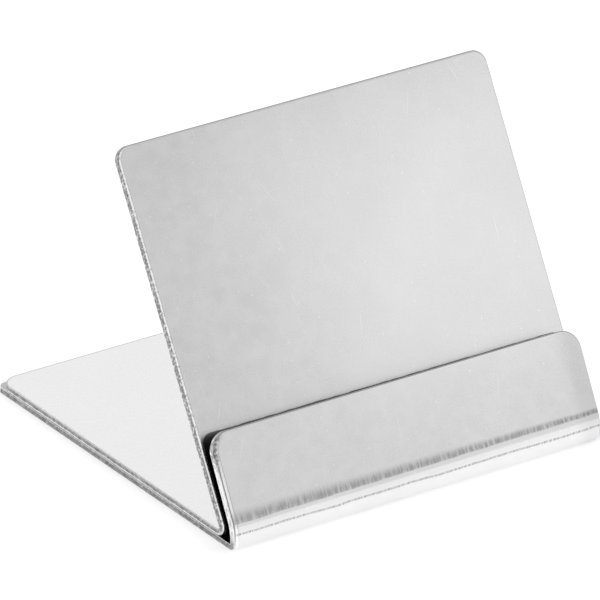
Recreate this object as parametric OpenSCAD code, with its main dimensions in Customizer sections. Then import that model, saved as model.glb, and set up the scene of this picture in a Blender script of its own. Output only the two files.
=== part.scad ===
// Place card holder bent from two stainless sheets.
// The back rest leans over its own leg. The front clip lies under that leg and
// turns up in front of it, so that a card stands in the narrow slot between them.
// X runs along the slot, -Y is the front, Z is up, and the origin is on the table
// under the middle of the holder.

/* [Sheet] */
// Thickness of the sheet that both pieces are cut from
sheet_t = 1; // [0.7:0.05:1.2]
// Width of both pieces along the slot
width = 63.5; // [45:0.5:90]
// Depth of the whole holder, from the front bend to the lower leg's rear edge
depth = 63.5; // [50:0.5:90]

/* [Back rest] */
// Height of the back plate's top edge above the table
height = 51.5; // [36:0.5:75]
// Lean of the back plate from upright, in degrees
back_lean = 29.2; // [18:0.1:36]
// Inside radius of the bend at the foot of the back plate
rest_bend_r = 0.5; // [0.3:0.1:1.2]
// Radius of the back plate's top corners
back_corner_r = 2.2; // [1:0.1:5]
// Radius of the upper leg's rear corners
leg_corner_r = 3; // [1:0.1:6]

/* [Front clip] */
// Height of the lip's top edge above the table
lip_h = 16; // [10:0.5:24]
// Lean of the lip from upright, in degrees
lip_lean = 27; // [15:0.5:33]
// Clear width between the two bends at the foot of the slot
slot_foot_w = 2; // [1.2:0.1:3.5]
// Inside radius of the tight bend where the lower leg turns upright
clip_bend_r = 0.2; // [0.1:0.05:1]
// Height of the upright stretch between the tight bend and the soft bend
upright_h = 1.2; // [0.4:0.1:3]
// Inside radius of the soft bend where the lip starts to lean
lip_bend_r = 4; // [2:0.1:8]
// Radius of the lip's top corners
lip_corner_r = 3; // [1:0.1:6]
// How far the lower leg reaches out behind the upper leg
rear_step = 0.8; // [0:0.1:2]
// Radius of the lower leg's rear corners
clip_corner_r = 1.6; // [0.6:0.1:5]

/* [Spot welds] */
// Diameter of a weld nugget
weld_d = 4; // [2:0.5:6]
// Height of a weld nugget, half of it in each leg
weld_h = 0.8; // [0.4:0.1:1]
// Distance from the upper leg's edges to a weld's centre
weld_inset = 11; // [6:0.5:16]

/* [Hidden] */

// Roundness of the corners and welds
$fn = 96;
// Longest step along the bends' outlines, in degrees
arc_step = 6;
// Overrun of the cuts past the faces that they open
cut_over = 0.5;

// Bends of the front clip, on either side of its upright stretch
clip_out_r = clip_bend_r + sheet_t;
lip_out_r = lip_bend_r + sheet_t;
clip_centre = [-depth / 2 + clip_out_r, clip_out_r];
lip_centre = [-depth / 2 + lip_out_r, clip_out_r + upright_h];

// Along the lip's slope and square to it, in a side view, and its straight length
lip_up = [sin(lip_lean), cos(lip_lean)];
lip_out = [-cos(lip_lean), sin(lip_lean)];
lip_len = (lip_h - lip_centre.y - lip_out_r * lip_out.y) / lip_up.y;

// Bend and plate of the back rest
rest_out_r = rest_bend_r + sheet_t;
rest_bend_y = clip_centre.x - clip_bend_r + slot_foot_w + rest_out_r;
rest_centre = [rest_bend_y, sheet_t + rest_out_r];
back_up = [sin(back_lean), cos(back_lean)];
back_out = [-cos(back_lean), sin(back_lean)];
back_len = (height - rest_centre.y - rest_out_r * back_out.y) / back_up.y;

// Rear edges of the two legs
clip_rear_y = depth / 2;
rest_rear_y = clip_rear_y - rear_step;

// Weld centres
weld_x = width / 2 - weld_inset;
weld_front_y = rest_bend_y + weld_inset;
weld_rear_y = rest_rear_y - weld_inset;

// Steel as it looks under even light
steel = [0.80, 0.80, 0.79];
weld_steel = [0.62, 0.62, 0.64];

// Points along an arc, from one direction to another
function arc(centre, r, from_a, to_a) =
    let (steps = max(2, ceil(abs(to_a - from_a) / arc_step)))
    [
        for (i = [0:steps])
            let (a = from_a + (to_a - from_a) * i / steps)
            centre + r * [cos(a), sin(a)]
    ];

// Side view of the back rest: x is the depth and y is the height.
// It runs forward along the leg's top, up the plate's rear, and back down its face.
rest_outline = concat(
    [[rest_rear_y, 2 * sheet_t]],
    arc(rest_centre, rest_bend_r, 270, 180 - back_lean),
    [
        rest_centre + rest_bend_r * back_out + back_len * back_up,
        rest_centre + rest_out_r * back_out + back_len * back_up
    ],
    arc(rest_centre, rest_out_r, 180 - back_lean, 270),
    [[rest_rear_y, sheet_t]]
);

// Side view of the front clip. It runs forward along the leg's top, up the inside
// of the lip, over its top edge and back down the outside.
clip_outline = concat(
    [[clip_rear_y, sheet_t]],
    arc(clip_centre, clip_bend_r, 270, 180),
    arc(lip_centre, lip_bend_r, 180, 180 - lip_lean),
    [
        lip_centre + lip_bend_r * lip_out + lip_len * lip_up,
        lip_centre + lip_out_r * lip_out + lip_len * lip_up
    ],
    arc(lip_centre, lip_out_r, 180 - lip_lean, 180),
    arc(clip_centre, clip_out_r, 180, 270),
    [[clip_rear_y, 0]]
);

// A side view drawn out to the full width
module full_width(outline) {
    rotate([90, 0, 90])
        linear_extrude(width, center = true)
            polygon(outline);
}

// What is cut away to round both corners at the far end of a plate.
// The plate lies in X and Y, and its end is at y = 0.
module corner_cuts(corner_r, stack_t) {
    for (side = [0, 1])
        mirror([side, 0, 0])
            translate([width / 2 - corner_r, -corner_r, -cut_over])
                linear_extrude(stack_t + 2 * cut_over)
                    difference() {
                        square(corner_r + cut_over);
                        circle(corner_r);
                    }
}

// The nuggets that join the legs, face to face with their pockets in both sheets
module weld_set() {
    for (x = [-weld_x, weld_x], y = [weld_front_y, weld_rear_y])
        translate([x, y, sheet_t - weld_h / 2])
            cylinder(h = weld_h, d = weld_d);
}

module back_rest() {
    color(steel)
        difference() {
            full_width(rest_outline);
            translate([0, rest_rear_y, sheet_t])
                corner_cuts(leg_corner_r, sheet_t);
            translate([0, rest_centre.x, rest_centre.y])
                rotate([90 - back_lean, 0, 0])
                    translate([0, back_len, rest_bend_r])
                        corner_cuts(back_corner_r, sheet_t);
            weld_set();
        }
}

module front_clip() {
    color(steel)
        difference() {
            full_width(clip_outline);
            translate([0, clip_rear_y, 0])
                corner_cuts(clip_corner_r, sheet_t);
            translate([0, lip_centre.x, lip_centre.y])
                rotate([90 - lip_lean, 0, 0])
                    translate([0, lip_len, lip_bend_r])
                        corner_cuts(lip_corner_r, sheet_t);
            weld_set();
        }
}

module spot_welds() {
    color(weld_steel) weld_set();
}

back_rest();
front_clip();
spot_welds();
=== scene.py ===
"""Looks of a place card holder bent from two stainless sheets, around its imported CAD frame.

Each sheet starts as a flat blank with real sheared edges. A Geometry Nodes tree then folds
it along its bend lines, as a press brake does, so faces, edges and bends stay one skin.
Everything is in metres in the row frame: X along the slot, -Y the front, Z up.
"""
import math

import bpy
import numpy as np
from mathutils import Matrix, Vector


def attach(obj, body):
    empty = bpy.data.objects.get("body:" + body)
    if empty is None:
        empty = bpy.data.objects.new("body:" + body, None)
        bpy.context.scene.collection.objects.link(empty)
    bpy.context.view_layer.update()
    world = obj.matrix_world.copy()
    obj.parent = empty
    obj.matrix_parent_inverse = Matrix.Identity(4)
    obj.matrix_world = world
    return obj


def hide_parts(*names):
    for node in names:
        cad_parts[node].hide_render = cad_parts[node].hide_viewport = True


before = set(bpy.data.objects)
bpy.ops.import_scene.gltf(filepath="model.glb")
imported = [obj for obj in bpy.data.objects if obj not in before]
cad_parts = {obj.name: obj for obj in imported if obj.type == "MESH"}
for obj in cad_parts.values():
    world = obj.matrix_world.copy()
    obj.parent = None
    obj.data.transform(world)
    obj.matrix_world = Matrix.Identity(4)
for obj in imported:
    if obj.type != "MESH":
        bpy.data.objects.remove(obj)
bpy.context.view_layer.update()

MM = 0.001

# Sizes, as in the part
SHEET_T = 1.0 * MM
WIDTH = 63.5 * MM
DEPTH = 63.5 * MM

REST_HEIGHT = 51.5 * MM
REST_LEAN = math.radians(29.2)
REST_BEND_R = 0.5 * MM
REST_CORNER_R = 2.2 * MM
REST_LEG_CORNER_R = 3.0 * MM

LIP_HEIGHT = 16.0 * MM
LIP_LEAN = math.radians(27.0)
SLOT_FOOT_W = 2.0 * MM
TIGHT_BEND_R = 0.2 * MM
UPRIGHT_H = 1.2 * MM
SOFT_BEND_R = 4.0 * MM
LIP_CORNER_R = 3.0 * MM
REAR_STEP = 0.8 * MM
CLIP_LEG_CORNER_R = 1.6 * MM

RIGHT_ANGLE = math.radians(90)

# The photo's view: the camera's turn, rise and roll, and where it aims
CAMERA_TURN = math.radians(-33.703)
CAMERA_RISE = math.radians(25.431)
CAMERA_ROLL = math.radians(-0.185)
CAMERA_AWAY = 1.3126
AIM_ACROSS = 0.565 * MM
AIM_UP = 16.903 * MM
CLIP_START = CAMERA_AWAY / 100
CLIP_END = CAMERA_AWAY * 10
LENS_MM = 540
SENSOR_MM = 36


def add_node(tree, kind, inputs=None, **settings):
    """Adds a node. inputs maps a socket's name or number to a value or to the socket to link."""
    node = tree.nodes.new(kind)
    for name, value in settings.items():
        setattr(node, name, value)
    for key, value in (inputs or {}).items():
        if isinstance(value, bpy.types.NodeSocket):
            tree.links.new(value, node.inputs[key])
        else:
            node.inputs[key].default_value = value
    return node


# Flat blanks. A sheared edge runs from the near face, which the blade met, to the far face.
# Roll-over: how far inside the outline, and how far down, as shares of its width and depth
ROLL_OVER = ((1.10, 0.00), (1.00, 0.00), (0.75, 0.05), (0.52, 0.16), (0.32, 0.35),
             (0.15, 0.61), (0.04, 0.86), (0.00, 1.00))
# Cut face: how far inside the outline in mm, and how deep in the sheet as a share of it
CUT_FACE = ((0.00, 0.36), (0.00, 0.46), (0.02, 0.52), (0.03, 0.63), (0.03, 0.80),
            (0.02, 0.92), (0.00, 0.97))
# Burr at its far rim: how far inside the outline in mm, and how high as a share of its height
BURR = ((0.00, 0.60), (0.02, 1.00), (0.05, 0.85), (0.10, 0.20), (0.15, 0.00), (0.22, 0.00))
# The edge attribute: 0 on the near face, 1 at the roll-over's foot, 1 to 2 over the cut face,
# then 2 and up over the burr
FAR_FACE = 2.2
# Grid of the blanks: fine over the bends and corners, coarse elsewhere
COLUMN_W = 0.7 * MM
ROW_STEP = 0.7 * MM
BEND_STEP = 0.08 * MM
CORNER_STEPS = 18


def spread(start, end, step):
    """Values from start to end, evenly spaced by about step, with both ends."""
    count = max(1, math.ceil(abs(end - start) / step))
    return np.linspace(start, end, count + 1)


def blank_rows(front_y, rear_y, front_r, rear_r, bends):
    """The rows of a blank from front to rear: y, half width lost, and the edge's outward way."""
    quarter = np.linspace(math.pi / 2, 0, CORNER_STEPS + 1)
    rows = [(front_y + front_r * (1 - math.sin(a)), front_r * (1 - math.cos(a)),
             math.cos(a), -math.sin(a)) for a in quarter]
    stops = [front_y + front_r]
    for start, end in bends:
        stops += [end, start]
    stops.append(rear_y - rear_r)
    steps = [BEND_STEP if i % 2 else ROW_STEP for i in range(len(stops) - 1)]
    for low, high, step in zip(stops, stops[1:], steps):
        rows += [(y, 0.0, 1.0, 0.0) for y in spread(low, high, step)[1:]]
    rows += [(rear_y - rear_r * (1 - math.sin(a)), rear_r * (1 - math.cos(a)),
              math.cos(a), math.sin(a)) for a in quarter[::-1][1:]]
    return np.array(rows)


def blank_mesh(name, base_z, rows, bend, rolls, roll_deep, burr):
    """A flat blank as one closed skin. The face that the blade met lies below, at base_z.

    bend holds the y where the folded part ends and the y where the leg starts. rolls holds the
    widths of the roll-over on the folded part's left, on its right, at the ends and on the leg.
    """
    across = spread(-1, 1, 2 * COLUMN_W / WIDTH)
    n_rows, n_cols = len(rows), len(across)
    half = WIDTH / 2 - rows[:, 1]
    outline = np.zeros((n_rows, n_cols, 3))
    outline[:, :, 0] = half[:, None] * across
    outline[:, :, 1] = rows[:, 0][:, None]

    index = np.arange(n_rows * n_cols).reshape(n_rows, n_cols)
    loop = np.concatenate([index[0], index[1:, -1], index[-1, -2::-1], index[-2:0:-1, 0]])
    outward = np.zeros((n_rows, n_cols, 3))
    outward[:, -1, :2] = rows[:, 2:]
    outward[:, 0, :2] = rows[:, 2:] * (-1, 1)
    outward[0, :, :2] = (0, -1)
    outward[-1, :, :2] = (0, 1)
    # inside the outline every row shrinks with its own ends
    ways = outward.copy()
    ways[:, 1:-1, 0] = outward[:, -1, 0][:, None] * across[1:-1]
    ways[:, 1:-1, 1] = outward[:, -1, 1][:, None]
    ways[0, :, 0] = ways[-1, :, 0] = 0
    # the blade wore unevenly, so each side has its own roll-over
    left_roll, right_roll, end_roll, leg_roll = rolls
    turned = outward[:, :, 0].copy()
    turned[0] = turned[-1] = 0
    turned[:, 1:-1] = 0
    sides = np.where(turned < 0, left_roll, right_roll)
    sides = np.interp(outline[:, :, 1], bend, (0, 1)) * (leg_roll - sides) + sides
    roll = (end_roll + (sides - end_roll) * np.abs(turned)).reshape(-1, 1)

    def layer(points, ways, inset, depth):
        moved = points - ways * inset
        moved[:, 2] = base_z + depth
        return moved

    flat, flat_ways = outline.reshape(-1, 3), ways.reshape(-1, 3)
    edge, edge_ways, edge_roll = flat[loop], outward.reshape(-1, 3)[loop], roll[loop]
    layers = [layer(flat, flat_ways, ROLL_OVER[0][0] * roll, 0.0)]
    marks = [np.zeros(len(flat))]
    for inset, depth in ROLL_OVER[1:]:
        layers.append(layer(edge, edge_ways, inset * edge_roll,
                            depth * roll_deep * edge_roll[:, 0] / left_roll))
        marks.append(np.full(len(loop), 1 - inset))
    for inset, depth in CUT_FACE:
        layers.append(layer(edge, edge_ways, inset * MM, depth * SHEET_T))
        marks.append(np.full(len(loop), 1 + depth))
    burr_high = np.where(edge[:, 1] < bend[0], burr, 0.0)
    for inset, height in BURR[:-1]:
        layers.append(layer(edge, edge_ways, inset * MM, SHEET_T + height * burr_high))
        marks.append(np.full(len(loop), 2 + inset))
    layers.append(layer(flat, flat_ways, BURR[-1][0] * MM, SHEET_T))
    marks.append(np.full(len(flat), FAR_FACE))

    size, turn, rings = len(flat), len(loop), len(layers) - 2
    far = size + turn * rings
    ids = [loop] + [size + turn * i + np.arange(turn) for i in range(rings)] + [far + loop]
    a, b = index[:-1, :-1].ravel(), index[:-1, 1:].ravel()
    c, d = index[1:, 1:].ravel(), index[1:, :-1].ravel()
    quads = [np.stack([a, d, c, b], 1), np.stack([a, b, c, d], 1) + far]
    for low, high in zip(ids, ids[1:]):
        quads.append(np.stack([low, np.roll(low, -1), np.roll(high, -1), high], 1))
    mesh = bpy.data.meshes.new(name)
    mesh.from_pydata(np.concatenate(layers).tolist(), [], np.concatenate(quads).tolist())
    edge_side = turned.reshape(-1)[loop]
    side = np.concatenate([turned.ravel()] + [edge_side] * rings + [turned.ravel()])
    for label, values in (("edge", np.concatenate(marks)), ("side", side)):
        mark = mesh.attributes.new(label, "FLOAT", "POINT")
        mark.data.foreach_set("value", values.astype(np.float32))
    mesh.shade_smooth()
    return mesh


# What each bend of a press is given
BEND_INPUTS = ("Line", "Outside radius", "Middle radius", "Angle")


def fold_group():
    """Folds all that lies in front of a line upwards, round a bend of a given radius."""
    group = bpy.data.node_groups.new("fold", "GeometryNodeTree")
    new = group.interface.new_socket
    new("Blank", in_out="INPUT", socket_type="NodeSocketGeometry")
    for name in ("Line", "Floor", "Outside radius", "Middle radius", "Angle"):
        new(name, in_out="INPUT", socket_type="NodeSocketFloat")
    new("Folded", in_out="OUTPUT", socket_type="NodeSocketGeometry")
    given = add_node(group, "NodeGroupInput").outputs
    place = add_node(group, "GeometryNodeInputPosition").outputs[0]
    parts = add_node(group, "ShaderNodeSeparateXYZ", {0: place}).outputs
    ahead = add_node(group, "ShaderNodeMath", {0: given["Line"], 1: parts["Y"]},
                     operation="SUBTRACT").outputs[0]
    turned = add_node(group, "ShaderNodeMath", {0: ahead, 1: given["Middle radius"]},
                      operation="DIVIDE").outputs[0]
    turned = add_node(group, "ShaderNodeMath", {0: turned, 1: 0.0}, operation="MAXIMUM").outputs[0]
    turned = add_node(group, "ShaderNodeMath", {0: turned, 1: given["Angle"]},
                      operation="MINIMUM").outputs[0]
    used = add_node(group, "ShaderNodeMath", {0: turned, 1: given["Middle radius"]},
                    operation="MULTIPLY").outputs[0]
    back = add_node(group, "ShaderNodeMath", {0: parts["Y"], 1: used}, operation="ADD").outputs[0]
    drawn = add_node(group, "ShaderNodeCombineXYZ", {"X": parts["X"], "Y": back, "Z": parts["Z"]})
    high = add_node(group, "ShaderNodeMath", {0: given["Floor"], 1: given["Outside radius"]},
                    operation="ADD").outputs[0]
    axis = add_node(group, "ShaderNodeCombineXYZ", {"Y": given["Line"], "Z": high})
    down = add_node(group, "ShaderNodeMath", {0: turned, 1: -1.0}, operation="MULTIPLY").outputs[0]
    folded = add_node(group, "ShaderNodeVectorRotate",
                      {"Vector": drawn.outputs[0], "Center": axis.outputs[0], "Angle": down},
                      rotation_type="X_AXIS")
    moved = add_node(group, "GeometryNodeSetPosition",
                     {"Geometry": given["Blank"], "Position": folded.outputs[0]})
    add_node(group, "NodeGroupOutput", {"Folded": moved.outputs[0]})
    return group


def press_brake(name, fold, bends, floor_z, material):
    """The tree that keeps each point's place on the flat blank and folds the blank, tip first."""
    tree = bpy.data.node_groups.new(name + "_press", "GeometryNodeTree")
    new = tree.interface.new_socket
    new("Blank", in_out="INPUT", socket_type="NodeSocketGeometry")
    for i in range(len(bends)):
        for label in BEND_INPUTS:
            new(f"Bend {i + 1} {label}", in_out="INPUT", socket_type="NodeSocketFloat")
    new("Floor", in_out="INPUT", socket_type="NodeSocketFloat")
    new("Sheet", in_out="OUTPUT", socket_type="NodeSocketGeometry")
    given = add_node(tree, "NodeGroupInput").outputs
    place = add_node(tree, "GeometryNodeInputPosition").outputs[0]
    shape = add_node(tree, "GeometryNodeStoreNamedAttribute",
                     {"Geometry": given["Blank"], "Name": "flat", "Value": place},
                     data_type="FLOAT_VECTOR", domain="POINT").outputs[0]
    for i in range(len(bends)):
        step = add_node(tree, "GeometryNodeGroup", node_tree=fold)
        tree.links.new(shape, step.inputs["Blank"])
        tree.links.new(given["Floor"], step.inputs["Floor"])
        for label in BEND_INPUTS:
            tree.links.new(given[f"Bend {i + 1} {label}"], step.inputs[label])
        shape = step.outputs["Folded"]
    shape = add_node(tree, "GeometryNodeRealizeInstances", {"Geometry": shape}).outputs[0]
    shape = add_node(tree, "GeometryNodeSetMaterial",
                     {"Geometry": shape, "Material": material}).outputs[0]
    add_node(tree, "NodeGroupOutput", {"Sheet": shape})
    values = {"Floor": floor_z}
    for i, (line, inside_r, angle) in enumerate(bends):
        sizes = (line, inside_r + SHEET_T, inside_r + SHEET_T / 2, angle)
        for label, size in zip(BEND_INPUTS, sizes):
            values[f"Bend {i + 1} {label}"] = size
    return tree, values


def pressed_piece(name, node, mesh, tree, values):
    """Folds a blank and turns the result into the plain mesh of a finished piece."""
    blank = bpy.data.objects.new(name + "_blank", mesh)
    bpy.context.scene.collection.objects.link(blank)
    press = blank.modifiers.new("press", "NODES")
    press.node_group = tree
    for item in tree.interface.items_tree:
        if item.item_type == "SOCKET" and item.in_out == "INPUT" and item.name in values:
            press[item.identifier] = values[item.name]
    folded = blank.evaluated_get(bpy.context.evaluated_depsgraph_get())
    made = bpy.data.meshes.new_from_object(folded)
    made.name = name
    bpy.data.objects.remove(blank)
    piece = bpy.data.objects.new(name, made)
    bpy.context.scene.collection.objects.link(piece)
    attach(piece, "root")
    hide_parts(node)


# Settings of a colour Mix node, which has its colours on sockets 6 and 7 and its result on
# output 2: one that blends the two colours, and one that multiplies the first by the second
BLENDED = {"data_type": "RGBA"}
TINTED = {"data_type": "RGBA", "blend_type": "MULTIPLY"}
# The range that a noise texture mostly keeps to
NOISE_LOW, NOISE_HIGH = 0.3, 0.7
WHITE = "#FFFFFF"

# Mill finish of the faces, with the sizes of its patterns in mm
FACE_DARK, FACE_PALE = "#EDEDED", "#F5F5F5"
CLOUD_MM, MOTTLE_MM, GRAIN_MM = 14, 2.2, 0.5
MOTTLE_WEIGHT, GRAIN_WEIGHT = 0.35, 0.15
TONE_LOW, TONE_HIGH = 0.32, 0.68
SMOOTHEST, ROUGHEST = 0.26, 0.29
GRAIN_STRENGTH, GRAIN_DEEP = 0.05, 0.02 * MM
# Pits, about one to 35 square millimetres: the size of their cells, the share of cells
# without one, and a pit's core and rim as shares of its cell
PIT_MM, NO_PIT = 3.2, 0.70
PIT_R, PIT_RIM = 0.02, 0.06
# Scratches: their cells as above, the most that they turn from the plate's slope, in
# radians, and half their width and length at the core and at the rim
SCRATCH_MM, NO_SCRATCH = 9, 0.75
SCRATCH_TURN = 0.5
SCRATCH_W, SCRATCH_RIM = 0.02 * MM, 0.09 * MM
SCRATCH_SHORT, SCRATCH_LONG = 0.6 * MM, 2.2 * MM
MARK_PALE = 0.8

# Sheared edges. Places across them are values of the edge attribute.
# Bare metal starts on the roll-over, and the far face is bare by this share
BARE_FROM, BARE_FULL = 0.12, 0.24
FAR_FROM, FAR_BARE = 2.15, 0.72
# Where the cut tore, and how far its tones wander and blotch
TEAR_FROM, TEAR_FULL = 1.1, 1.4
TEAR_FADES, TEAR_ENDS = 1.8, 1.95
TEAR_WANDER = 0.10
BLOTCH_MM, BLOTCH_LOW, BLOTCH_HIGH = 0.9, 0.50, 0.62
BLOTCH_TINT = "#C4C4C4"
# Left edges, as values of the side attribute, which is the edge's outward way along X
LEFT_FROM, LEFT_FULL = -0.25, -0.75
# Flecks and dents are the two ends of one noise
FLECK_MM = 0.4
FLECK_FROM, FLECK_FULL = 0.54, 0.62
DENT_FROM, DENT_FULL = 0.46, 0.38
DENT_TINT = "#A8A8A8"
FLECKED_FROM, FLECKED_FULL = 0.05, 0.20
LEG_FLECKED = 0.3
# Pocks that the file left on the lip's corner
POCK_MM, POCK_LOW, POCK_HIGH = 0.5, 0.44, 0.56
POCK_FROM, POCK_FULL = 0.15, 0.35
POCK_TINT = "#B0B0B0"

# Tones over a sheared edge, partly the cut's own zones and partly painted shade. The roll-over
# shines, a thin dark line of painted shade lies on either side of it, and the cut is dull where
# it tore and pale at the burr. On the legs the cut is darker, partly its torn zone and partly a
# painted reflection of the shadow on the floor.
LIP_SIDE = ((0.00, "#FFFFFF"), (0.05, "#DCDCDC"), (0.14, "#DCDCDC"), (0.21, "#FFFFFF"),
            (0.58, "#FFFFFF"), (0.68, "#9A9A9A"), (0.80, "#8A8A8A"), (0.90, "#F4F4F4"),
            (1.94, "#F0F0F0"), (2.06, "#FFFFFF"), (FAR_FACE, "#FFFFFF"))
# The filed corner's greys are painted shade on its facet
LIP_CORNER = ((0.00, "#FFFFFF"), (0.08, "#D0D0D0"), (0.18, "#F0F0F0"), (0.40, "#F4F4F4"),
              (0.55, "#C4C4C4"), (0.75, "#B0B0B0"), (1.00, "#A4A4A4"), (1.25, "#B0B0B0"),
              (1.40, "#F4F4F4"), (2.06, "#FFFFFF"), (FAR_FACE, "#FFFFFF"))
# At the lip's end, the dark outline at the roll-over's foot is painted shade
LIP_END = ((0.00, "#FFFFFF"), (0.30, "#FAFAFA"), (0.64, "#E0E0E0"), (0.85, "#969696"),
           (1.10, "#9C9C9C"), (1.90, "#D0D0D0"), (2.06, "#FFFFFF"), (FAR_FACE, "#FFFFFF"))
# On the clip's leg, the far face's grey is painted shade where it shows around the rest's leg
CLIP_LEG = ((0.00, "#FFFFFF"), (0.50, "#FFFFFF"), (0.90, "#D8D8D8"), (1.05, "#8A8A8A"),
            (1.30, "#949494"), (1.60, "#868686"), (1.90, "#969696"),
            (1.97, "#E0E0E0"), (2.04, "#F0F0F0"), (FAR_FACE, "#C8C8C8"))
PLATE_SIDE = ((0.00, "#FFFFFF"), (0.05, "#D8D8D8"), (0.18, "#C8C8C8"), (0.30, "#FFFFFF"),
              (0.64, "#FFFFFF"), (0.76, "#A0A0A0"), (1.40, "#8C8C8C"), (1.90, "#A4A4A4"),
              (1.98, "#E8E8E8"), (2.06, "#FFFFFF"), (FAR_FACE, "#FFFFFF"))
# At the plate's end, the dark outline at the roll-over's foot is painted shade
PLATE_END = ((0.00, "#FFFFFF"), (0.30, "#F0F0F0"), (0.55, "#B8B8B8"), (0.85, "#949494"),
             (1.10, "#A4A4A4"), (1.90, "#D0D0D0"), (2.06, "#FFFFFF"), (FAR_FACE, "#FFFFFF"))
# On the rest's leg, the grey of the roll-over is painted shade in the seam between the sheets
REST_LEG = ((0.00, "#FFFFFF"), (0.08, "#C4C4C4"), (0.40, "#B8B8B8"), (0.62, "#FFFFFF"),
            (1.26, "#F4F4F4"), (1.36, "#9C9C9C"), (1.62, "#8E8E8E"), (1.92, "#A8A8A8"),
            (1.99, "#F0F0F0"), (2.10, "#A8A8A8"), (FAR_FACE, "#FFFFFF"))

# Painted shade in the foot of the slot, where the lip shades it: how ragged its border is, and its
# tints
RAGGED_MM, RAGGED = 2.5, 0.06 * MM
SLOT_SHADE_TOP, SLOT_SHADE_FOOT = "#8A8A8A", "#3A3A3A"
SLOT_SHADE_DEEPENS = 4 * MM

# Marks of the press tool on the outside of the lip's foot, below this edge value
OUTSIDE = 0.7
# Streaks along the tool's travel break them, and they drift a little from a straight line
STREAK_W_MM, STREAK_L_MM = 0.34, 3.0
DRIFT_MM, DRIFT = 5, 0.08 * MM
# The scuffed band, by the distance below its lower border
SCUFF_FULL = -0.30 * MM
SCUFF_FADES, SCUFF_ENDS = -0.02 * MM, 0.20 * MM
SCUFF_SPARSE, SCUFF_DENSE = 0.70, 0.42
DASH_SPARSE, DASH_DENSE = 0.60, 0.42
FAINTEST = 0.25
SCUFF_TINT, LINE_TINT = "#BCBCBC", "#B4B4B4"
LINE_CORE, LINE_RIM = 0.07 * MM, 0.24 * MM
# The darker strip between the band and the line, the painted shade at the right end, and the
# burnished foot
STRIP_TINT, RIGHT_END_SHADE = "#F2F2F2", "#F0F0F0"
STRIP_FROM, STRIP_FULL, STRIP_ABOVE = -0.1 * MM, 0.2 * MM, 0.5 * MM
RIGHT_END_SHADE_FROM, RIGHT_END_SHADE_FULL = WIDTH / 2 - 5 * MM, WIDTH / 2 - 1.5 * MM
BURNISHED, BURNISH_FULL = 0.62, 0.25 * MM

# Welds
CAST_GRAIN_MM = 0.4
WELD_DARK, WELD_PALE = "#8C8C92", "#C2C2C6"
WELD_ROUGH = 0.5

# Widths of each sheet's roll-over: left and right of the folded part, ends, leg. Then its
# depth on the left, and the burr's height.
CLIP_ROLLS = (0.86 * MM, 0.20 * MM, 0.28 * MM, 0.86 * MM)
CLIP_ROLL_DEEP, CLIP_BURR = 0.16 * MM, 0.12 * MM
REST_ROLLS = (0.50 * MM, 0.22 * MM, 0.30 * MM, 0.32 * MM)
REST_ROLL_DEEP, REST_BURR = 0.32 * MM, 0.05 * MM
# How much of the flecks each sheet's left edge has
CLIP_FLECKED, REST_FLECKED = 0.22, 0.70
# The clip's leg bands start this far above its tight bend's upper end, and are full this
# far below it, measured on the flat blank
CLIP_LEG_SHORT, CLIP_LEG_PAST = 2 * MM, 1 * MM
# Faces that the slot's painted shade lies on, as tests of the edge attribute
LIP_INSIDE = ("GREATER_THAN", 2.1)
PLATE_FRONT = ("LESS_THAN", 0.2)
# Where it starts: below the lip's end, and above the plate's bend
LIP_UNSHADED = 0.3 * MM
SHADED_PLATE = 12.82 * MM
# How far from the lip's end its left edge is filed, fully and at all
FILED_FULL, FILED_LAST = 3 * MM, 6.5 * MM

# Stage and light. The dim sector is bounded by the cosine to its middle and by its height.
FLOOR_HALF = 3.0
PAPER, PAPER_LIFT = "#ECECEC", 0.40
DIM_WAY = Vector((0.80, -0.52, 0.30))
DIM_FACING = (0.76, 0.90)
DIM_HEIGHT = (0.27, 0.36)
SKY_LEVEL, DIM_LEVEL = 0.87, 0.490
# The lamp stands off this way from the place on the plate that mirrors it
LAMP_SIZE = 60 * MM
LAMP_POWER = 0.0044
LAMP_AWAY = 160 * MM
LAMP_SEEN_AT = Vector((22, -12, 30)) * MM
LAMP_WAY = Vector((0.506, -0.756, 0.414))


def linear(code):
    """An sRGB hex colour as linear RGBA."""
    parts = [int(code[i:i + 2], 16) / 255 for i in (1, 3, 5)]
    return [p / 12.92 if p <= 0.04045 else ((p + 0.055) / 1.055) ** 2.4 for p in parts] + [1.0]


def per_mm(size):
    """The texture scale at which a pattern repeats about every size millimetres."""
    return 1 / (size * MM)


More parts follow.
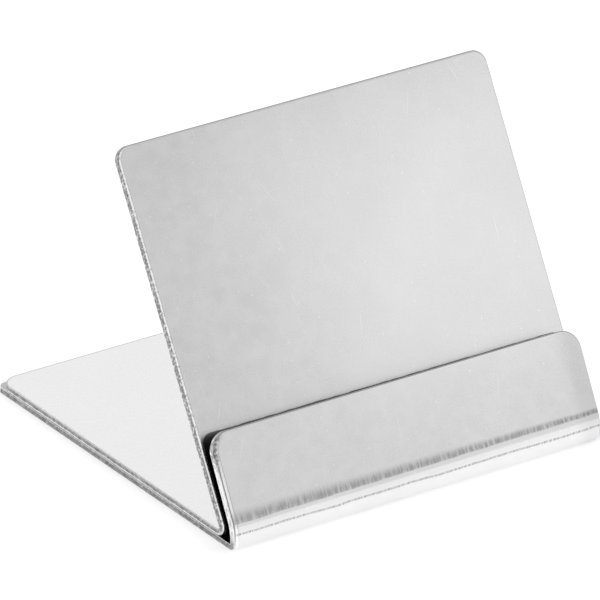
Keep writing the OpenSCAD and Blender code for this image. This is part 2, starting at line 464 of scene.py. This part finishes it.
def pits_and_scratches(tree, flat):
    """Pale pits that the light catches, and short fine scratches from handling."""
    cell = add_node(tree, "ShaderNodeTexVoronoi", {"Vector": flat, "Scale": per_mm(PIT_MM)},
                    voronoi_dimensions="2D").outputs
    pick = add_node(tree, "ShaderNodeSeparateXYZ", {0: cell["Color"]}).outputs
    pit = add_node(tree, "ShaderNodeMapRange",
                   {"Value": cell["Distance"], "From Min": PIT_R, "From Max": PIT_RIM,
                    "To Min": MARK_PALE, "To Max": 0.0}).outputs[0]
    picked = add_node(tree, "ShaderNodeMath", {0: pick["X"], 1: NO_PIT},
                      operation="GREATER_THAN").outputs[0]
    pit = add_node(tree, "ShaderNodeMath", {0: pit, 1: picked}, operation="MULTIPLY").outputs[0]
    # the scratches run mostly along the plate's slope
    cell = add_node(tree, "ShaderNodeTexVoronoi", {"Vector": flat, "Scale": per_mm(SCRATCH_MM)},
                    voronoi_dimensions="2D").outputs
    pick = add_node(tree, "ShaderNodeSeparateXYZ", {0: cell["Color"]}).outputs
    away = add_node(tree, "ShaderNodeVectorMath", {0: flat, 1: cell["Position"]},
                    operation="SUBTRACT").outputs[0]
    turn = add_node(tree, "ShaderNodeMapRange",
                    {"Value": pick["Y"], "To Min": -SCRATCH_TURN,
                     "To Max": SCRATCH_TURN}).outputs[0]
    away = add_node(tree, "ShaderNodeVectorRotate", {"Vector": away, "Angle": turn},
                    rotation_type="Z_AXIS").outputs[0]
    away = add_node(tree, "ShaderNodeVectorMath", {0: away}, operation="ABSOLUTE").outputs[0]
    away = add_node(tree, "ShaderNodeSeparateXYZ", {0: away}).outputs
    thin = add_node(tree, "ShaderNodeMapRange",
                    {"Value": away["X"], "From Min": SCRATCH_W, "From Max": SCRATCH_RIM,
                     "To Min": MARK_PALE, "To Max": 0.0}).outputs[0]
    short = add_node(tree, "ShaderNodeMapRange",
                     {"Value": away["Y"], "From Min": SCRATCH_SHORT, "From Max": SCRATCH_LONG,
                      "To Min": 1.0, "To Max": 0.0}).outputs[0]
    scratch = add_node(tree, "ShaderNodeMath", {0: thin, 1: short},
                       operation="MULTIPLY").outputs[0]
    picked = add_node(tree, "ShaderNodeMath", {0: pick["X"], 1: NO_SCRATCH},
                      operation="GREATER_THAN").outputs[0]
    scratch = add_node(tree, "ShaderNodeMath", {0: scratch, 1: picked},
                       operation="MULTIPLY").outputs[0]
    return add_node(tree, "ShaderNodeMath", {0: scratch, 1: pit}, operation="MAXIMUM").outputs[0]


def steel_faces(tree, flat):
    """Mill finish: the colour, the roughness and the fine relief of a satin rolled face.

    Broad clouds and a finer mottle come from the rolls and the pickling bath. The grain of
    such sheet is a few hundredths of a millimetre, and is drawn at 0.5 mm so that it shows.
    """
    cloud, mottle, grain = [
        add_node(tree, "ShaderNodeTexNoise",
                 {"Vector": flat, "Scale": per_mm(size), "Detail": detail}).outputs[0]
        for size, detail in ((CLOUD_MM, 4.0), (MOTTLE_MM, 3.0), (GRAIN_MM, 2.0))]
    tone = cloud
    for weight, finer in ((MOTTLE_WEIGHT, mottle), (GRAIN_WEIGHT, grain)):
        tone = add_node(tree, "ShaderNodeMix", {"Factor": weight, 2: tone, 3: finer},
                        data_type="FLOAT").outputs[0]
    tone = add_node(tree, "ShaderNodeMapRange",
                    {"Value": tone, "From Min": TONE_LOW, "From Max": TONE_HIGH}).outputs[0]
    colour = add_node(tree, "ShaderNodeMix",
                      {"Factor": tone, 6: linear(FACE_DARK), 7: linear(FACE_PALE)},
                      **BLENDED).outputs[2]
    colour = add_node(tree, "ShaderNodeMix",
                      {"Factor": pits_and_scratches(tree, flat), 6: colour, 7: linear(WHITE)},
                      **BLENDED).outputs[2]
    rough = add_node(tree, "ShaderNodeMapRange",
                     {"Value": mottle, "From Min": NOISE_LOW, "From Max": NOISE_HIGH,
                      "To Min": SMOOTHEST, "To Max": ROUGHEST}).outputs[0]
    return colour, rough, grain


def edge_bands(tree, edge, bands):
    """Tones across a sheared edge. bands lists places along the edge and the tint there."""
    share = add_node(tree, "ShaderNodeMath", {0: edge, 1: FAR_FACE},
                     operation="DIVIDE").outputs[0]
    node = add_node(tree, "ShaderNodeValToRGB", {0: share})
    stops = node.color_ramp.elements
    while len(stops) < len(bands):
        stops.new(1.0)
    for stop, (place, tint) in zip(stops, bands):
        stop.position = place / FAR_FACE
        stop.color = linear(tint)
    return node.outputs[0]


def filed_corner(tree, tint, flat, edge, edge_place, depth_y, left, filed):
    """The left top corner's edge, which someone took a file to and left blotched. Its grey bands
    are painted shade on the filed facet.
    """
    bands, full_y, last_y = filed
    corner = add_node(tree, "ShaderNodeMapRange",
                      {"Value": depth_y, "From Min": full_y, "From Max": last_y,
                       "To Min": 1.0, "To Max": 0.0}).outputs[0]
    corner = add_node(tree, "ShaderNodeMath", {0: corner, 1: left},
                      operation="MULTIPLY").outputs[0]
    tint = add_node(tree, "ShaderNodeMix",
                    {"Factor": corner, 6: tint, 7: edge_bands(tree, edge_place, bands)},
                    **BLENDED).outputs[2]
    pocks = add_node(tree, "ShaderNodeTexNoise",
                     {"Vector": flat, "Scale": per_mm(POCK_MM), "Detail": 3.0}).outputs[0]
    pocks = add_node(tree, "ShaderNodeMapRange",
                     {"Value": pocks, "From Min": POCK_LOW, "From Max": POCK_HIGH}).outputs[0]
    filed_edge = add_node(tree, "ShaderNodeMapRange",
                          {"Value": edge, "From Min": POCK_FROM, "From Max": POCK_FULL}).outputs[0]
    for limit in (corner, filed_edge):
        pocks = add_node(tree, "ShaderNodeMath", {0: pocks, 1: limit},
                         operation="MULTIPLY").outputs[0]
    return add_node(tree, "ShaderNodeMix", {"Factor": pocks, 6: tint, 7: linear(POCK_TINT)},
                    **TINTED).outputs[2]


def sheared_edges(tree, colour, flat, edge, zones, bend, flecked, filed):
    """The sheet's colour with its cut edges: bands that are partly painted shade, blotches where
    it tore, and glitter.

    zones holds the bands of the left side, of the ends and right side, and of the leg. bend
    holds the y where the folded part ends and the y where the leg starts.
    """
    depth_y = add_node(tree, "ShaderNodeSeparateXYZ", {0: flat}).outputs["Y"]
    # the torn part of a cut is blotched along its length, every 0.5 to 1 mm
    blotch = add_node(tree, "ShaderNodeTexNoise",
                      {"Vector": flat, "Scale": per_mm(BLOTCH_MM), "Detail": 3.0,
                       "Roughness": 0.65}).outputs[0]
    wander = add_node(tree, "ShaderNodeMapRange",
                      {"Value": blotch, "From Min": NOISE_LOW, "From Max": NOISE_HIGH,
                       "To Min": -TEAR_WANDER, "To Max": TEAR_WANDER}).outputs[0]
    torn = add_node(tree, "ShaderNodeMapRange",
                    {"Value": edge, "From Min": TEAR_FROM, "From Max": TEAR_FULL},
                    interpolation_type="SMOOTHSTEP").outputs[0]
    before_burr = add_node(tree, "ShaderNodeMapRange",
                           {"Value": edge, "From Min": TEAR_FADES, "From Max": TEAR_ENDS,
                            "To Min": 1.0, "To Max": 0.0}).outputs[0]
    torn = add_node(tree, "ShaderNodeMath", {0: torn, 1: before_burr},
                    operation="MULTIPLY").outputs[0]
    wander = add_node(tree, "ShaderNodeMath", {0: wander, 1: torn},
                      operation="MULTIPLY").outputs[0]
    edge_place = add_node(tree, "ShaderNodeMath", {0: edge, 1: wander},
                          operation="ADD").outputs[0]
    # edges are bare metal and pale, and the far face is brighter and evener than the near one
    bare = add_node(tree, "ShaderNodeMapRange",
                    {"Value": edge, "From Min": BARE_FROM, "From Max": BARE_FULL}).outputs[0]
    far = add_node(tree, "ShaderNodeMapRange",
                   {"Value": edge, "From Min": FAR_FROM, "From Max": FAR_FACE,
                    "To Min": 1.0, "To Max": FAR_BARE}).outputs[0]
    bare = add_node(tree, "ShaderNodeMath", {0: bare, 1: far}, operation="MULTIPLY").outputs[0]
    colour = add_node(tree, "ShaderNodeMix", {"Factor": bare, 6: colour, 7: linear(WHITE)},
                      **BLENDED).outputs[2]

    side_bands, end_bands, leg_bands = zones
    side = add_node(tree, "ShaderNodeAttribute", attribute_name="side").outputs["Fac"]
    left = add_node(tree, "ShaderNodeMapRange",
                    {"Value": side, "From Min": LEFT_FROM, "From Max": LEFT_FULL}).outputs[0]
    on_leg = add_node(tree, "ShaderNodeMapRange",
                      {"Value": depth_y, "From Min": bend[0], "From Max": bend[1]},
                      interpolation_type="SMOOTHSTEP").outputs[0]
    tint = edge_bands(tree, edge_place, end_bands)
    tint = add_node(tree, "ShaderNodeMix",
                    {"Factor": left, 6: tint, 7: edge_bands(tree, edge_place, side_bands)},
                    **BLENDED).outputs[2]
    if filed:
        tint = filed_corner(tree, tint, flat, edge, edge_place, depth_y, left, filed)
    tint = add_node(tree, "ShaderNodeMix",
                    {"Factor": on_leg, 6: tint, 7: edge_bands(tree, edge_place, leg_bands)},
                    **BLENDED).outputs[2]
    colour = add_node(tree, "ShaderNodeMix", {"Factor": 1.0, 6: colour, 7: tint},
                      **TINTED).outputs[2]
    spots = add_node(tree, "ShaderNodeMapRange",
                     {"Value": blotch, "From Min": BLOTCH_LOW, "From Max": BLOTCH_HIGH}).outputs[0]
    spots = add_node(tree, "ShaderNodeMath", {0: spots, 1: torn}, operation="MULTIPLY").outputs[0]
    colour = add_node(tree, "ShaderNodeMix", {"Factor": spots, 6: colour, 7: linear(BLOTCH_TINT)},
                      **TINTED).outputs[2]

    # flecks of torn metal and dents between them along the left edge. On such sheet they are a
    # few hundredths of a millimetre, and they are drawn at 0.4 mm so that they show
    specks = add_node(tree, "ShaderNodeTexNoise",
                      {"Vector": flat, "Scale": per_mm(FLECK_MM), "Detail": 3.0,
                       "Roughness": 0.7}).outputs[0]
    on_edge = add_node(tree, "ShaderNodeMapRange",
                       {"Value": edge, "From Min": FLECKED_FROM,
                        "From Max": FLECKED_FULL}).outputs[0]
    strength = add_node(tree, "ShaderNodeMapRange",
                        {"Value": on_leg, "To Min": flecked, "To Max": LEG_FLECKED}).outputs[0]
    for limit in (left, strength):
        on_edge = add_node(tree, "ShaderNodeMath", {0: on_edge, 1: limit},
                           operation="MULTIPLY").outputs[0]
    for start, full, hue, way in ((FLECK_FROM, FLECK_FULL, WHITE, BLENDED),
                                  (DENT_FROM, DENT_FULL, DENT_TINT, TINTED)):
        speck = add_node(tree, "ShaderNodeMapRange",
                         {"Value": specks, "From Min": start, "From Max": full}).outputs[0]
        speck = add_node(tree, "ShaderNodeMath", {0: speck, 1: on_edge},
                         operation="MULTIPLY").outputs[0]
        colour = add_node(tree, "ShaderNodeMix", {"Factor": speck, 6: colour, 7: linear(hue)},
                          **way).outputs[2]
    return colour


def slot_painted_shade(tree, colour, flat, edge, slot):
    """Painted shade in the foot of the slot, which leaves it nearly black.

    It is paler at the top and ends in round corners, as the lip's shadow does. slot holds
    its face, top and foot, how wide its border fades, its corners' radius and slant, and
    the rim that it leaves unshaded at both sides.
    """
    place = add_node(tree, "ShaderNodeSeparateXYZ", {0: flat}).outputs
    side_w = WIDTH / 2 - slot["rim"] - slot["corner_r"]
    wide = add_node(tree, "ShaderNodeMath", {0: place["X"]}, operation="ABSOLUTE").outputs[0]
    wide = add_node(tree, "ShaderNodeMath", {0: wide, 1: side_w}, operation="SUBTRACT").outputs[0]
    wide = add_node(tree, "ShaderNodeMath", {0: wide, 1: 0.0}, operation="MAXIMUM").outputs[0]
    border = add_node(tree, "ShaderNodeMath",
                      {0: place["X"], 1: slot["slant"], 2: slot["top"] + slot["corner_r"]},
                      operation="MULTIPLY_ADD").outputs[0]
    ragged = add_node(tree, "ShaderNodeTexNoise",
                      {"Vector": flat, "Scale": per_mm(RAGGED_MM), "Detail": 2.0}).outputs[0]
    ragged = add_node(tree, "ShaderNodeMapRange",
                      {"Value": ragged, "From Min": NOISE_LOW, "From Max": NOISE_HIGH,
                       "To Min": -RAGGED, "To Max": RAGGED}).outputs[0]
    border = add_node(tree, "ShaderNodeMath", {0: border, 1: ragged}, operation="ADD").outputs[0]
    deep = add_node(tree, "ShaderNodeMath", {0: border, 1: place["Y"]},
                    operation="SUBTRACT").outputs[0]
    deep = add_node(tree, "ShaderNodeMath", {0: deep, 1: 0.0}, operation="MAXIMUM").outputs[0]
    reach = add_node(tree, "ShaderNodeCombineXYZ", {"X": wide, "Y": deep}).outputs[0]
    reach = add_node(tree, "ShaderNodeVectorMath", {0: reach}, operation="LENGTH").outputs["Value"]
    inside = add_node(tree, "ShaderNodeMapRange",
                      {"Value": reach, "From Min": slot["corner_r"],
                       "From Max": slot["corner_r"] + slot["fade"], "To Min": 1.0, "To Max": 0.0},
                      interpolation_type="SMOOTHSTEP").outputs[0]
    above_foot = add_node(tree, "ShaderNodeMapRange",
                          {"Value": place["Y"], "From Min": slot["foot"],
                           "From Max": slot["foot"] + slot["fade"], "To Min": 1.0, "To Max": 0.0},
                          interpolation_type="SMOOTHSTEP").outputs[0]
    compare, limit = slot["face"]
    faced = add_node(tree, "ShaderNodeMath", {0: edge, 1: limit}, operation=compare).outputs[0]
    for part in (above_foot, faced):
        inside = add_node(tree, "ShaderNodeMath", {0: inside, 1: part},
                          operation="MULTIPLY").outputs[0]
    # painted shade, paler at the top of the slot and darker further down
    depth = add_node(tree, "ShaderNodeMapRange",
                     {"Value": place["Y"], "From Min": slot["top"],
                      "From Max": slot["top"] + SLOT_SHADE_DEEPENS}).outputs[0]
    slot_shade = add_node(tree, "ShaderNodeMix",
                    {"Factor": depth, 6: linear(SLOT_SHADE_TOP), 7: linear(SLOT_SHADE_FOOT)},
                    **BLENDED).outputs[2]
    return add_node(tree, "ShaderNodeMix", {"Factor": inside, 6: colour, 7: slot_shade},
                    **TINTED).outputs[2]


def press_marks(tree, colour, rough, flat, edge, press):
    """What the press tool left on the lip's foot, as a colour and a roughness.

    A scuffed band lies where the lip starts, a little aslant, with scratches across it, and a
    fine broken line lies where the tool's nose rested. Below the band the steel is burnished.
    press holds the places of the nose's line and of the band, the band's slant, and how far
    above it the scuff fades in, at the left end and at the right.
    """
    place = add_node(tree, "ShaderNodeSeparateXYZ", {0: flat}).outputs
    outer = add_node(tree, "ShaderNodeMath", {0: edge, 1: OUTSIDE},
                     operation="LESS_THAN").outputs[0]
    across = add_node(tree, "ShaderNodeMapRange",
                      {"Value": place["X"], "From Min": -WIDTH / 2,
                       "From Max": WIDTH / 2}).outputs[0]
    streaked = add_node(tree, "ShaderNodeMapping",
                        {"Vector": flat,
                         "Scale": (per_mm(STREAK_W_MM), per_mm(STREAK_L_MM), 0.0)}).outputs[0]
    streak = add_node(tree, "ShaderNodeTexNoise",
                      {"Vector": streaked, "Scale": 1.0, "Detail": 4.0,
                       "Roughness": 0.6}).outputs[0]
    drift = add_node(tree, "ShaderNodeTexNoise",
                     {"Vector": flat, "Scale": per_mm(DRIFT_MM), "Detail": 3.0}).outputs[0]
    drift = add_node(tree, "ShaderNodeMapRange",
                     {"Value": drift, "From Min": NOISE_LOW, "From Max": NOISE_HIGH,
                      "To Min": -DRIFT, "To Max": DRIFT}).outputs[0]
    y = add_node(tree, "ShaderNodeMath", {0: place["Y"], 1: drift}, operation="ADD").outputs[0]
    below = add_node(tree, "ShaderNodeMath", {0: place["X"], 1: press["slant"], 2: y},
                     operation="MULTIPLY_ADD").outputs[0]
    below = add_node(tree, "ShaderNodeMath", {0: below, 1: press["band"]},
                     operation="SUBTRACT").outputs[0]
    fade = add_node(tree, "ShaderNodeMapRange",
                    {"Value": across, "To Min": press["fade_left"],
                     "To Max": press["fade_right"]}).outputs[0]
    upper = add_node(tree, "ShaderNodeMapRange",
                     {"Value": below, "From Min": fade, "From Max": SCUFF_FULL},
                     interpolation_type="SMOOTHSTEP").outputs[0]
    lower = add_node(tree, "ShaderNodeMapRange",
                     {"Value": below, "From Min": SCUFF_FADES, "From Max": SCUFF_ENDS,
                      "To Min": 1.0, "To Max": 0.0},
                     interpolation_type="SMOOTHSTEP").outputs[0]
    scuff = add_node(tree, "ShaderNodeMath", {0: upper, 1: lower},
                     operation="MULTIPLY").outputs[0]
    apart = add_node(tree, "ShaderNodeMath", {0: y, 1: press["nose"]},
                     operation="SUBTRACT").outputs[0]
    apart = add_node(tree, "ShaderNodeMath", {0: apart}, operation="ABSOLUTE").outputs[0]
    line = add_node(tree, "ShaderNodeMapRange",
                    {"Value": apart, "From Min": LINE_CORE, "From Max": LINE_RIM,
                     "To Min": 1.0, "To Max": 0.0},
                    interpolation_type="SMOOTHSTEP").outputs[0]
    # the band and the line are broken by the same streaks
    for mark, sparse, dense, hue in ((scuff, SCUFF_SPARSE, SCUFF_DENSE, SCUFF_TINT),
                                     (line, DASH_SPARSE, DASH_DENSE, LINE_TINT)):
        broken = add_node(tree, "ShaderNodeMapRange",
                          {"Value": streak, "From Min": sparse, "From Max": dense,
                           "To Min": FAINTEST, "To Max": 1.0}).outputs[0]
        for limit in (broken, outer):
            mark = add_node(tree, "ShaderNodeMath", {0: mark, 1: limit},
                            operation="MULTIPLY").outputs[0]
        colour = add_node(tree, "ShaderNodeMix", {"Factor": mark, 6: colour, 7: linear(hue)},
                          **TINTED).outputs[2]
    # the steel between the band and the line is tinted a little darker, and the right end gets
    # painted shade
    strip = add_node(tree, "ShaderNodeMapRange",
                     {"Value": y, "From Min": press["nose"] - STRIP_ABOVE,
                      "From Max": press["nose"], "To Min": 1.0, "To Max": 0.0}).outputs[0]
    past_band = add_node(tree, "ShaderNodeMapRange",
                         {"Value": below, "From Min": STRIP_FROM,
                          "From Max": STRIP_FULL}).outputs[0]
    strip = add_node(tree, "ShaderNodeMath", {0: strip, 1: past_band},
                     operation="MULTIPLY").outputs[0]
    # painted shade, darkening the lip's outside towards its right end
    dull = add_node(tree, "ShaderNodeMapRange",
                    {"Value": place["X"], "From Min": RIGHT_END_SHADE_FROM, "From Max": RIGHT_END_SHADE_FULL},
                    interpolation_type="SMOOTHSTEP").outputs[0]
    for mark, hue in ((strip, STRIP_TINT), (dull, RIGHT_END_SHADE)):
        mark = add_node(tree, "ShaderNodeMath", {0: mark, 1: outer},
                        operation="MULTIPLY").outputs[0]
        colour = add_node(tree, "ShaderNodeMix", {"Factor": mark, 6: colour, 7: linear(hue)},
                          **TINTED).outputs[2]
    burnish = add_node(tree, "ShaderNodeMapRange",
                       {"Value": below, "From Min": 0.0, "From Max": BURNISH_FULL,
                        "To Min": 1.0, "To Max": BURNISHED}).outputs[0]
    rough = add_node(tree, "ShaderNodeMath", {0: rough, 1: burnish},
                     operation="MULTIPLY").outputs[0]
    return colour, rough


def cold_rolled_stainless(name, zones, bend, flecked, slot, press=None, filed=None):
    """Cold-rolled stainless sheet, satin, sheared and pressed: pale grey, softly mottled.

    Places are in metres on the flat blank. filed holds the bands of the filed corner, the y
    up to which it is fully filed and the y where that ends.
    """
    material = bpy.data.materials.new(name)
    material.use_nodes = True
    tree = material.node_tree
    tree.nodes.clear()
    flat = add_node(tree, "ShaderNodeAttribute", attribute_name="flat").outputs["Vector"]
    edge = add_node(tree, "ShaderNodeAttribute", attribute_name="edge").outputs["Fac"]
    colour, rough, grain = steel_faces(tree, flat)
    colour = sheared_edges(tree, colour, flat, edge, zones, bend, flecked, filed)
    # painted shade in the foot of the slot
    colour = slot_painted_shade(tree, colour, flat, edge, slot)
    if press:
        colour, rough = press_marks(tree, colour, rough, flat, edge, press)
    bump = add_node(tree, "ShaderNodeBump",
                    {"Height": grain, "Strength": GRAIN_STRENGTH,
                     "Distance": GRAIN_DEEP}).outputs[0]
    shader = add_node(tree, "ShaderNodeBsdfPrincipled",
                      {"Base Color": colour, "Metallic": 1.0, "Roughness": rough,
                       "Normal": bump}).outputs[0]
    add_node(tree, "ShaderNodeOutputMaterial", {"Surface": shader})
    return material


def weld_steel(name):
    """Resistance-welded stainless: a dull, slightly blued grey nugget with a coarse cast grain."""
    material = bpy.data.materials.new(name)
    material.use_nodes = True
    tree = material.node_tree
    tree.nodes.clear()
    place = add_node(tree, "ShaderNodeTexCoord").outputs["Object"]
    grain = add_node(tree, "ShaderNodeTexNoise",
                     {"Vector": place, "Scale": per_mm(CAST_GRAIN_MM), "Detail": 3.0}).outputs[0]
    colour = add_node(tree, "ShaderNodeMix",
                      {"Factor": grain, 6: linear(WELD_DARK), 7: linear(WELD_PALE)},
                      **BLENDED).outputs[2]
    shader = add_node(tree, "ShaderNodeBsdfPrincipled",
                      {"Base Color": colour, "Metallic": 1.0,
                       "Roughness": WELD_ROUGH}).outputs[0]
    add_node(tree, "ShaderNodeOutputMaterial", {"Surface": shader})
    return material


# Bends are folded at the middle of the sheet
HALF_T = SHEET_T / 2
fold = fold_group()

# Front clip: leg, tight bend, upright, soft bend, lip
tight_out_r = TIGHT_BEND_R + SHEET_T
soft_out_r = SOFT_BEND_R + SHEET_T
tight_start = -DEPTH / 2 + tight_out_r
tight_end = tight_start - (TIGHT_BEND_R + HALF_T) * RIGHT_ANGLE
soft_start = tight_end - UPRIGHT_H
soft_end = soft_start - (SOFT_BEND_R + HALF_T) * LIP_LEAN
lip_rise = LIP_HEIGHT - tight_out_r - UPRIGHT_H - soft_out_r * math.sin(LIP_LEAN)
lip_end = soft_end - lip_rise / math.cos(LIP_LEAN)

clip_steel = cold_rolled_stainless(
    "cold_rolled_stainless_clip", (LIP_SIDE, LIP_END, CLIP_LEG),
    (tight_end - CLIP_LEG_SHORT, tight_end + CLIP_LEG_PAST), CLIP_FLECKED,
    # painted shade in the slot, on the lip's inside face
    slot={"face": LIP_INSIDE, "top": lip_end + LIP_UNSHADED, "foot": tight_start,
          "fade": 0.2 * MM, "corner_r": 2.5 * MM, "slant": 0.0, "rim": 0.0},
    press={"nose": soft_start - 0.24 * MM, "band": soft_end + 0.22 * MM, "slant": 0.0057,
           "fade_left": -2.3 * MM, "fade_right": -0.8 * MM},
    filed=(LIP_CORNER, lip_end + FILED_FULL, lip_end + FILED_LAST))
clip_rows = blank_rows(lip_end, DEPTH / 2, LIP_CORNER_R, CLIP_LEG_CORNER_R,
                       [(soft_start, soft_end), (tight_start, tight_end)])
clip_mesh = blank_mesh("front_clip", 0.0, clip_rows, (soft_start, tight_start),
                       CLIP_ROLLS, CLIP_ROLL_DEEP, CLIP_BURR)
clip_tree, clip_values = press_brake(
    "front_clip", fold,
    [(soft_start, SOFT_BEND_R, LIP_LEAN), (tight_start, TIGHT_BEND_R, RIGHT_ANGLE)],
    0.0, clip_steel)
pressed_piece("front_clip_sheet", "front_clip", clip_mesh, clip_tree, clip_values)

# Back rest: leg, bend, plate
rest_out_r = REST_BEND_R + SHEET_T
rest_start = -DEPTH / 2 + SHEET_T + SLOT_FOOT_W + rest_out_r
rest_turn = RIGHT_ANGLE + REST_LEAN
rest_end = rest_start - (REST_BEND_R + HALF_T) * rest_turn
plate_rise = REST_HEIGHT - SHEET_T - rest_out_r - rest_out_r * math.sin(REST_LEAN)
plate_end = rest_end - plate_rise / math.cos(REST_LEAN)

rest_steel = cold_rolled_stainless(
    "cold_rolled_stainless_rest", (PLATE_SIDE, PLATE_END, REST_LEG), (rest_end, rest_start),
    REST_FLECKED,
    # painted shade in the slot, on the plate's front face
    slot={"face": PLATE_FRONT, "top": rest_end - SHADED_PLATE, "foot": rest_start,
          "fade": 0.08 * MM, "corner_r": 1.4 * MM, "slant": 0.0025, "rim": 0.72 * MM})
rest_rows = blank_rows(plate_end, DEPTH / 2 - REAR_STEP, REST_CORNER_R, REST_LEG_CORNER_R,
                       [(rest_start, rest_end)])
rest_mesh = blank_mesh("back_rest", SHEET_T, rest_rows, (rest_end, rest_start),
                       REST_ROLLS, REST_ROLL_DEEP, REST_BURR)
rest_tree, rest_values = press_brake(
    "back_rest", fold, [(rest_start, REST_BEND_R, rest_turn)], SHEET_T, rest_steel)
pressed_piece("back_rest_sheet", "back_rest", rest_mesh, rest_tree, rest_values)

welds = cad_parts["spot_welds"].data.materials
welds.clear()
welds.append(weld_steel("weld_steel"))

# White paper under the holder, which keeps its shadow
floor_mesh = bpy.data.meshes.new("floor")
floor_mesh.from_pydata([(-FLOOR_HALF, -FLOOR_HALF, 0), (FLOOR_HALF, -FLOOR_HALF, 0),
                        (FLOOR_HALF, FLOOR_HALF, 0), (-FLOOR_HALF, FLOOR_HALF, 0)], [],
                       [(0, 1, 2, 3)])
floor = bpy.data.objects.new("floor", floor_mesh)
bpy.context.scene.collection.objects.link(floor)
paper = bpy.data.materials.new("white_paper")
paper.use_nodes = True
tree = paper.node_tree
tree.nodes.clear()
ray = add_node(tree, "ShaderNodeLightPath").outputs
seen = ray["Is Camera Ray"]
for kind in ("Is Glossy Ray", "Is Transmission Ray"):
    seen = add_node(tree, "ShaderNodeMath", {0: seen, 1: ray[kind]},
                    operation="MAXIMUM").outputs[0]
lift = add_node(tree, "ShaderNodeMath", {0: seen, 1: PAPER_LIFT}, operation="MULTIPLY").outputs[0]
glow = add_node(tree, "ShaderNodeEmission", {"Color": linear(WHITE), "Strength": lift}).outputs[0]
matt = add_node(tree, "ShaderNodeBsdfDiffuse", {"Color": linear(PAPER)}).outputs[0]
both = add_node(tree, "ShaderNodeAddShader", {0: matt, 1: glow}).outputs[0]
add_node(tree, "ShaderNodeOutputMaterial", {"Surface": both})
floor.data.materials.append(paper)

# The studio: even and white, with a dim sector at the front right that the faces mirror
world = bpy.data.worlds.new("studio")
bpy.context.scene.world = world
world.use_nodes = True
tree = world.node_tree
tree.nodes.clear()
ray = add_node(tree, "ShaderNodeLightPath").outputs
way = add_node(tree, "ShaderNodeTexCoord").outputs["Generated"]
facing = add_node(tree, "ShaderNodeVectorMath", {0: way, 1: DIM_WAY.normalized()},
                  operation="DOT_PRODUCT").outputs["Value"]
height = add_node(tree, "ShaderNodeSeparateXYZ", {0: way}).outputs["Z"]
front, above = [
    add_node(tree, "ShaderNodeMapRange", {"Value": value, "From Min": start, "From Max": full},
             interpolation_type="SMOOTHSTEP").outputs[0]
    for value, (start, full) in ((facing, DIM_FACING), (height, DIM_HEIGHT))]
dim = add_node(tree, "ShaderNodeMath", {0: front, 1: above}, operation="MULTIPLY").outputs[0]
shade = add_node(tree, "ShaderNodeMix", {"Factor": dim, 2: SKY_LEVEL, 3: DIM_LEVEL},
                 data_type="FLOAT").outputs[0]
level = add_node(tree, "ShaderNodeMix", {"Factor": ray["Is Camera Ray"], 2: shade, 3: 1.0},
                 data_type="FLOAT").outputs[0]
sky = add_node(tree, "ShaderNodeBackground",
               {"Color": linear(WHITE), "Strength": level}).outputs[0]
add_node(tree, "ShaderNodeOutputWorld", {"Surface": sky})

# A small soft lamp near the front right, which the back plate's middle right mirrors
soft = bpy.data.lights.new("soft_lamp", "AREA")
soft.size = LAMP_SIZE
soft.energy = LAMP_POWER
lamp = bpy.data.objects.new("soft_lamp", soft)
bpy.context.scene.collection.objects.link(lamp)
lamp.location = LAMP_SEEN_AT + LAMP_WAY * LAMP_AWAY
lamp.rotation_euler = LAMP_WAY.to_track_quat("Z", "Y").to_euler()

lens = bpy.data.cameras.new("camera")
lens.lens = LENS_MM
lens.sensor_width = SENSOR_MM
lens.clip_start = CLIP_START
lens.clip_end = CLIP_END
camera = bpy.data.objects.new("camera", lens)
bpy.context.scene.collection.objects.link(camera)
stand = (Matrix.Rotation(CAMERA_TURN, 4, "Z")
         @ Matrix.Rotation(RIGHT_ANGLE - CAMERA_RISE, 4, "X")
         @ Matrix.Rotation(CAMERA_ROLL, 4, "Z")
         @ Matrix.Translation((AIM_ACROSS, AIM_UP, CAMERA_AWAY)))
camera.location = stand.to_translation()
camera.rotation_euler = stand.to_euler()
bpy.context.scene.camera = camera

bpy.context.scene.view_settings.view_transform = "Standard"
